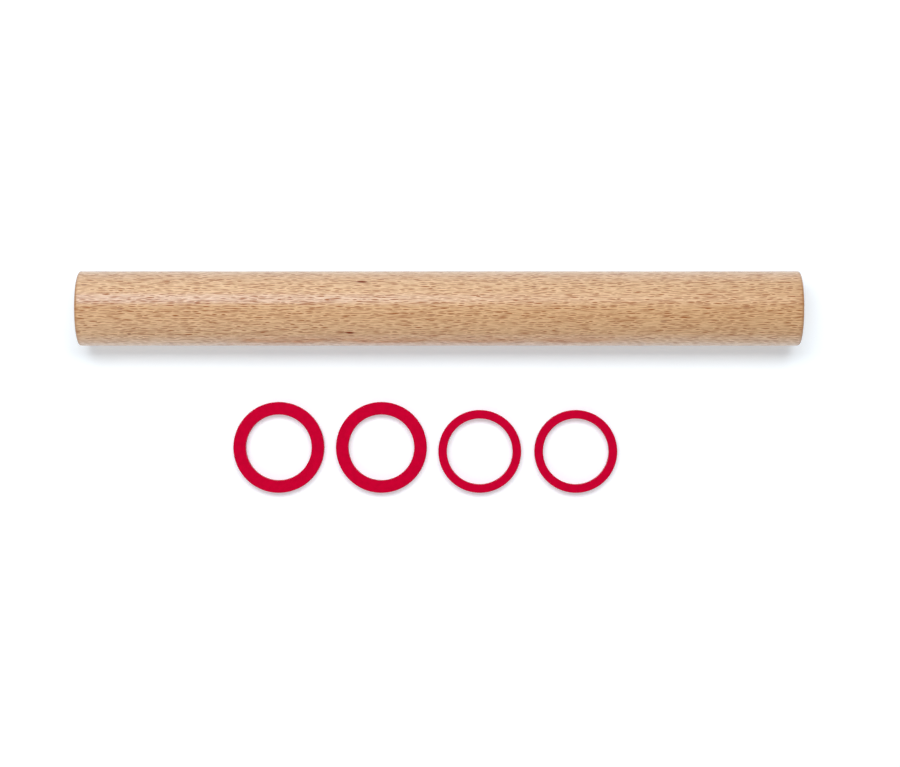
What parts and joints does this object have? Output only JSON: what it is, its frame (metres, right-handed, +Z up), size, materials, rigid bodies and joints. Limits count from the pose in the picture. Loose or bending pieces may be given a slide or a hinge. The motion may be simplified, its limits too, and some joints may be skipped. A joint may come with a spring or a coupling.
{
  "type": "adjustable rolling pin",
  "caption": "Straight beech rolling pin with no handles, and loose thick and thin silicone rings that stretch over its ends to set the dough's thickness.",
  "frame": {"origin": "on the table, under the middle of the box round the pin and the four rings", "axes": "+X along the pin, to the right as the picture shows it; +Y from the rings towards the pin; +Z up from the table"},
  "size_m": [0.372, 0.1152, 0.0385],
  "materials": {
    "beech": "satin",
    "silicone": "satin"
  },
  "bodies": {
    "pin": {"beech_pin": "beech"},
    "thick_ring_left": {"thick_ring_left": "silicone"},
    "thick_ring_right": {"thick_ring_right": "silicone"},
    "thin_ring_left": {"thin_ring_left": "silicone"},
    "thin_ring_right": {"thin_ring_right": "silicone"}
  },
  "joints": [
    {"name": "lift_thick_ring_left", "type": "slide", "parent": "pin", "child": "thick_ring_left", "axis": [0, 0, 1], "range_m": [0, 0.06]},
    {"name": "lift_thick_ring_right", "type": "slide", "parent": "pin", "child": "thick_ring_right", "axis": [0, 0, 1], "range_m": [0, 0.06]},
    {"name": "lift_thin_ring_left", "type": "slide", "parent": "pin", "child": "thin_ring_left", "axis": [0, 0, 1], "range_m": [0, 0.06]},
    {"name": "lift_thin_ring_right", "type": "slide", "parent": "pin", "child": "thin_ring_right", "axis": [0, 0, 1], "range_m": [0, 0.06]}
  ]
}
